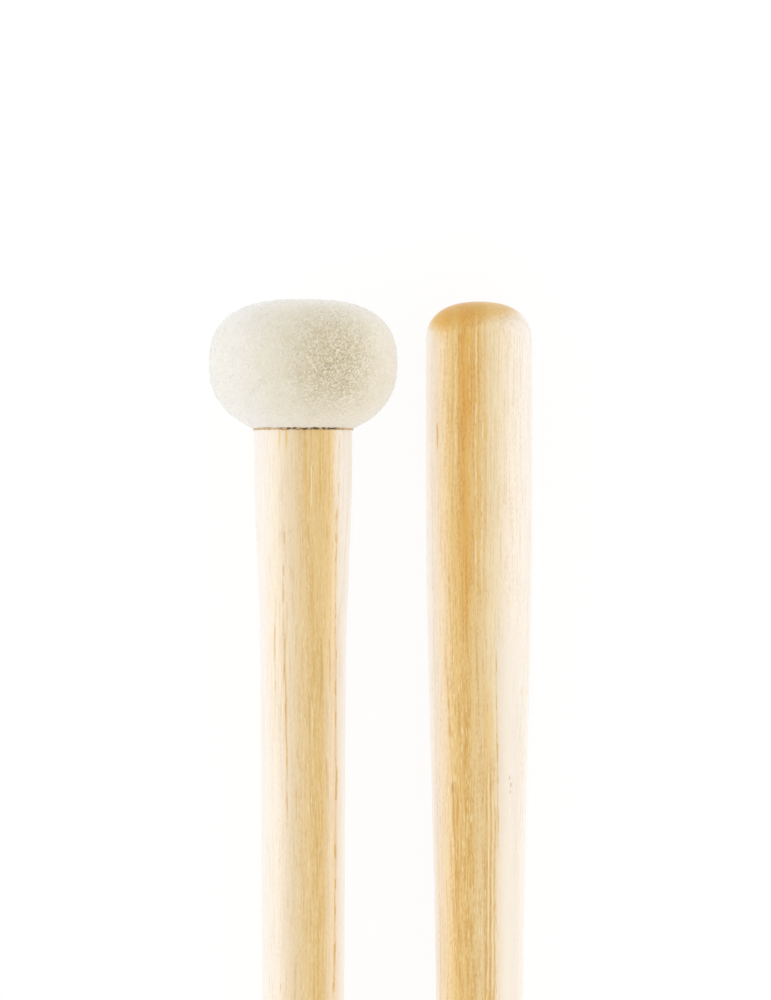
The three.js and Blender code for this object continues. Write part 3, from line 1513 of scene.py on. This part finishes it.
@dataclass(frozen=True)
class Studio:
    """A pale table under a plain sky, with soft boxes of each mallet's own.

    In the photograph each mallet is lit as if it lay there alone, the right one turned end for
    end. So its lamps shine past the other mallet.
    """

    table_width: float = 40.0
    table_glow: float = 0.875
    table_albedo: float = 0.12
    sky_glow: float = 0.89

    def build(self, table_height: float, mallets: dict[Side, list[Piece]]) -> None:
        """Sets up the table, the sky and the lamps.

        Args:
            table_height: the height of the table's top.
            mallets: the pieces of each mallet.
        """
        form = bmesh.new()
        bmesh.ops.create_grid(form, x_segments=1, y_segments=1, size=self.table_width / 2)
        table = piece_from("table", form, Matrix.Translation(UP * table_height))
        table.data.materials.append(self.table_material())
        table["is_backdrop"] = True
        self.build_sky()
        for side, pieces in mallets.items():
            lit = bpy.data.collections.new(f"{side.value}_lit")
            for piece in (*pieces, table):
                lit.objects.link(piece)
            outside = -1.0 if side is Side.LEFT else 1.0
            for lamp in self.lamps(side.value, outside):
                lamp.build(lit)

    def lamps(self, name: str, outside: float) -> list[Lamp]:
        """Lists one mallet's lamps.

        Args:
            name: the mallet's name.
            outside: the sign of X on the side away from the other mallet.

        Returns:
            The lamps.
        """
        low, lower = math.radians(18.0), math.radians(9.0)
        return [
            Lamp(f"{name}_key", bearing=outside, elevation=low, height=0.46, glow=1.35),
            Lamp(f"{name}_fill", bearing=-outside, elevation=lower, height=0.22, glow=2.5),
        ]

    def table_material(self) -> bpy.types.Material:
        """Makes a white table that keeps a faint shadow.

        Returns:
            The material.
        """
        made = bpy.data.materials.new("white_table")
        desk = clean_desk(made)
        paint = desk.node("ShaderNodeBsdfDiffuse")
        desk.fill(paint, Color=(self.table_albedo,) * 3 + (1.0,))
        glow = desk.fill(desk.node("ShaderNodeEmission"), Strength=self.table_glow)
        both = desk.node("ShaderNodeAddShader")
        for socket, shader in zip(both.inputs, (paint, glow)):
            desk.feed(socket, shader.outputs[0])
        desk.fill(desk.node("ShaderNodeOutputMaterial"), Surface=both.outputs[0])
        return made

    def build_sky(self) -> None:
        """Makes the sky: a plain level for the light, and white where it is seen or mirrored."""
        world = bpy.data.worlds.new("sky")
        bpy.context.scene.world = world
        desk = clean_desk(world)
        path = desk.node("ShaderNodeLightPath").outputs
        seen = path["Is Camera Ray"]
        for ray in ("Is Glossy Ray", "Is Transmission Ray"):
            seen = desk.math("MAXIMUM", seen, path[ray])
        glow = desk.node("ShaderNodeBackground")
        desk.fill(glow, Color=WHITE, Strength=desk.between(seen, self.sky_glow, 1.0))
        desk.fill(desk.node("ShaderNodeOutputWorld"), Surface=glow.outputs[0])


@dataclass(frozen=True)
class Camera:
    """The photograph's view: from above with a long lens, and a little from the near end."""

    metres_per_pixel: float = 0.2027 * MM
    frame_height_px: float = 1000.0
    middle_px: Span = (385.5, 500.0)
    pair_middle_px: float = 391.3
    far_end_px: float = 300.2
    aim_height: float = 15.0 * MM
    elevation: float = math.radians(88.0)
    distance: float = 1.8
    sensor: float = 36.0
    clip: Span = (0.1, 100.0)

    def build(self, far_end: float) -> None:
        """Sets up the camera.

        Args:
            far_end: how far the left head reaches along Y.
        """
        right = (self.middle_px[0] - self.pair_middle_px) * self.metres_per_pixel
        up = (self.middle_px[1] - self.far_end_px) * self.metres_per_pixel
        aim = Vector((right, far_end - up, self.aim_height))
        back = Vector((0.0, -math.cos(self.elevation), math.sin(self.elevation)))
        data = bpy.data.cameras.new("camera")
        data.sensor_width = self.sensor
        data.lens = self.sensor * self.distance / (self.frame_height_px * self.metres_per_pixel)
        data.clip_start, data.clip_end = self.clip
        camera = bpy.data.objects.new("camera", data)
        camera.location = aim + back * self.distance
        camera.rotation_mode = "QUATERNION"
        camera.rotation_quaternion = (-back).to_track_quat("-Z", "Y")
        bpy.context.scene.collection.objects.link(camera)
        bpy.context.scene.camera = camera


LEFT_STREAKS = (
    Streak(Tone.HEART, -5.2, 349.5, 356.0, 0.35, 0.9),
    Streak(Tone.HEART, -3.7, 349.6, 356.0, 0.35, 0.8),
    Streak(Tone.HEART, 3.3, 340.0, 356.0, 0.35, 0.8, broken=0.3),
    Streak(Tone.VESSEL, 7.2, 330.0, 352.0, 0.28, 0.5, lean=0.01, broken=0.6),
    Streak(Tone.CREAM, 1.3, 338.6, 346.4, strength=0.9, fade=2.0, broken=0.3),
    Streak(Tone.HEART, 1.0, 337.0, 347.0, 0.35, 0.8, fade=3.0, broken=0.3),
    Streak(Tone.HEART, 0.2, 332.0, 352.0, 0.8, 0.35, softness=0.6),
    Streak(Tone.VESSEL, -4.2, 311.0, 336.0, 0.28, 0.65, broken=0.85),
    Streak(Tone.VESSEL, -4.0, 303.0, 312.0, 0.36, 0.95, lean=0.02, fade=3.0, broken=0.3),
    Streak(Tone.VESSEL, -3.5, 288.0, 304.0, 0.38, 0.95, lean=-0.01, fade=3.0, broken=0.3),
    Streak(Tone.VESSEL, -3.5, 274.0, 289.0, broken=0.6),
    Streak(Tone.VESSEL, -5.8, 292.0, 318.0, 0.34, 0.6, fade=8.0, broken=0.6),
    Streak(Tone.VESSEL, 4.6, 262.0, 300.0, 0.26, 0.5, lean=0.01, broken=0.9),
    Streak(Tone.VESSEL, -1.6, 262.0, 285.0, 0.26, 0.4, broken=0.9),
    # Painted shade: a wide olive band towards the inner side, where the shaft turns from its lamp.
    Streak(Tone.OLIVE, 3.8, 200.0, 351.0, 4.4, 0.4, softness=2.4, fade=8.0),
    # Painted highlight: a wide pale band on the inner side.
    Streak(Tone.PAINTED_HIGHLIGHT, 6.6, 120.0, 306.0, 4.4, 0.32, softness=2.2, fade=34.0),
    Streak(Tone.HEART, -5.3, 296.0, 356.0, 4.0, 0.13, softness=2.0, fade=30.0),
    Streak(Tone.VESSEL, 5.9, 240.0, 338.0, 0.4, 0.9, lean=0.01, broken=0.55),
    Streak(Tone.VESSEL, 5.4, 302.0, 312.0, 0.34, 0.8, fade=3.0, broken=0.3),
    Streak(Tone.VESSEL, 0.1, 279.5, 286.0, fade=2.0, broken=0.6),
    Streak(Tone.VESSEL, 4.5, 279.0, 287.0, fade=2.0, broken=0.6),
    Streak(Tone.OLIVE, 3.8, 299.0, 311.5, 0.45, 1.0),
    Streak(Tone.OLIVE, 1.2, 292.0, 299.0, 0.5, 0.6),
    Streak(Tone.CREAM, 1.7, 290.0, 298.0, strength=0.6, broken=0.4),
)
RIGHT_STREAKS = (
    # Painted light and shade, not grain, in the next seven wide, soft streaks: amber across the
    # middle and towards the inner side is painted shade, and so is the strong amber at the butt's
    # inner side; cream and pale towards the outer side is painted highlight.
    Streak(Tone.HEART, 1.7, -5.0, 58.0, 7.4, 0.33, softness=3.0, fade=30.0),
    Streak(Tone.CREAM, -2.7, -5.0, 88.0, 2.9, 0.5, softness=2.2, fade=24.0),
    Streak(Tone.CREAM, -4.5, 70.0, 240.0, 2.6, 0.48, softness=2.0, fade=24.0),
    Streak(Tone.PAINTED_HIGHLIGHT, -7.5, 60.0, 260.0, 6.4, 0.28, softness=1.6, fade=60.0),
    Streak(Tone.HEART, 7.4, -5.0, 7.0, 3.4, 0.9, softness=2.0, fade=5.0),
    Streak(Tone.HEART, 2.6, -5.0, 26.0, 3.2, softness=1.8, fade=14.0),
    Streak(Tone.HEART, 2.9, 14.0, 64.0, 1.9, softness=1.4, fade=24.0),
    Streak(Tone.HEART, 3.5, 0.0, 40.0, 0.5, 0.5, softness=0.4, fade=14.0, broken=0.6),
    Streak(Tone.CREAM, 2.2, 4.0, 40.0, 0.25, 0.35, fade=12.0, broken=0.9),
    Streak(Tone.OLIVE, 4.2, 4.0, 40.0, 0.35, 0.9, fade=12.0, broken=0.5),
    Streak(Tone.CREAM, 4.8, 4.0, 40.0, strength=0.45, fade=12.0, broken=0.7),
    Streak(Tone.OLIVE, 5.4, -5.0, 60.0, 0.4, 0.6, softness=0.4, fade=20.0, broken=0.6),
    Streak(Tone.CREAM, 0.75, 1.0, 60.0, strength=0.65, fade=12.0, broken=0.85),
    Streak(Tone.HEART, 0.2, 2.0, 62.0, 0.4, fade=12.0, broken=0.5),
    Streak(Tone.CREAM, -0.5, 4.0, 58.0, fade=12.0, broken=0.9),
    Streak(Tone.HEART, -1.1, 4.0, 66.0, 0.5, 0.6, fade=12.0, broken=0.6),
    Streak(Tone.OLIVE, -2.2, 2.0, 50.0, fade=12.0, broken=0.8),
    Streak(Tone.OLIVE, -3.0, 2.0, 50.0, strength=0.6, fade=12.0, broken=0.8),
    Streak(Tone.OLIVE, -6.0, 8.0, 24.0, 0.4, 0.9, softness=0.4, fade=6.0, broken=0.3),
    Streak(Tone.VESSEL, 8.2, 25.0, 30.0, strength=0.8, fade=2.0),
    Streak(Tone.VESSEL, 7.2, 70.0, 125.0, 0.4, 0.85, lean=-0.04, fade=8.0, broken=0.7),
    Streak(Tone.SCORCH, 6.0, 97.6, 99.6, strength=0.6, fade=1.0),
    Streak(Tone.VESSEL, 5.2, 99.0, 160.0, 0.36, 0.8, lean=-0.02, broken=0.5),
    # Painted shade: amber on the middle, up to the painted highlight of the outer side.
    Streak(Tone.HEART, -1.4, 78.0, 200.0, 1.9, 0.42, softness=1.0, fade=16.0),
    # Painted shade: darkens the outer side's painted highlight here.
    Streak(Tone.PAINTED_SHADE, -5.5, 66.0, 200.0, 4.4, 0.5, softness=0.9, fade=24.0),
    Streak(Tone.VESSEL, -0.9, 96.0, 160.0, 0.32, broken=0.5),
    Streak(Tone.CREAM, -1.3, 96.0, 140.0, 0.32, 0.75, broken=0.3),
    Streak(Tone.VESSEL, -1.7, 95.0, 160.0, 0.34, 0.8, broken=0.4),
    Streak(Tone.CREAM, -2.1, 100.0, 140.0, strength=0.6, broken=0.4),
    Streak(Tone.VESSEL, -2.5, 102.0, 160.0, 0.32, broken=0.5),
    Streak(Tone.VESSEL, -3.2, 72.0, 112.0, broken=0.6),
    Streak(Tone.SCORCH, -5.7, 96.4, 97.3, 0.24, 0.5, fade=0.5),
    Streak(Tone.SCORCH, -5.95, 97.8, 98.7, 0.24, 0.5, fade=0.5),
    Streak(Tone.SCORCH, -5.8, 99.3, 100.0, 0.24, 0.4, fade=0.5),
    # Painted shade: a wide amber band towards the inner side, where the shaft turns from its lamp.
    Streak(Tone.HEART, 3.9, 44.0, 190.0, 3.8, 0.4, softness=1.8, fade=40.0),
)


def main() -> None:
    """Builds the two mallets, the studio and the camera."""
    logging.basicConfig(level=logging.INFO, format="%(message)s")
    bpy.context.scene.view_settings.view_transform = "Standard"
    patterns = Patterns(Drift().tree(), Grain().tree(), StreakForm().tree(), Matting().tree())
    left_wood = Hickory(
        "hickory_left",
        pith=(-30.0, 0.0, -41.0),
        band_width=2.4,
        figure=0.6,
        streaks=LEFT_STREAKS,
    )
    right_wood = Hickory(
        "hickory_right",
        pith=(34.0, 40.0, -35.0),
        band_width=1.9,
        figure=1.0,
        streaks=RIGHT_STREAKS,
        # Painted highlight: set wider on the right shaft than on the left.
        outer_painted_highlight=(2.5, -12.5),
        inner_painted_highlight=(5.6, 10.6),
    )
    both = (
        # The left head's place of scuffing lies where the head is in shade, and is painted shade as
        # well.
        Mallet(Side.LEFT, left_wood, scuff_and_shade=(6.3, 367.0, 17.0), seed=1),
        Mallet(Side.RIGHT, right_wood, scuff_and_shade=(-14.0, 372.0, -6.0), seed=2),
    )
    mallets = {mallet.side: mallet.build(patterns) for mallet in both}
    low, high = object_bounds()
    Studio().build(low.z, mallets)
    Camera().build(high.y)


if __name__ == "__main__":
    main()
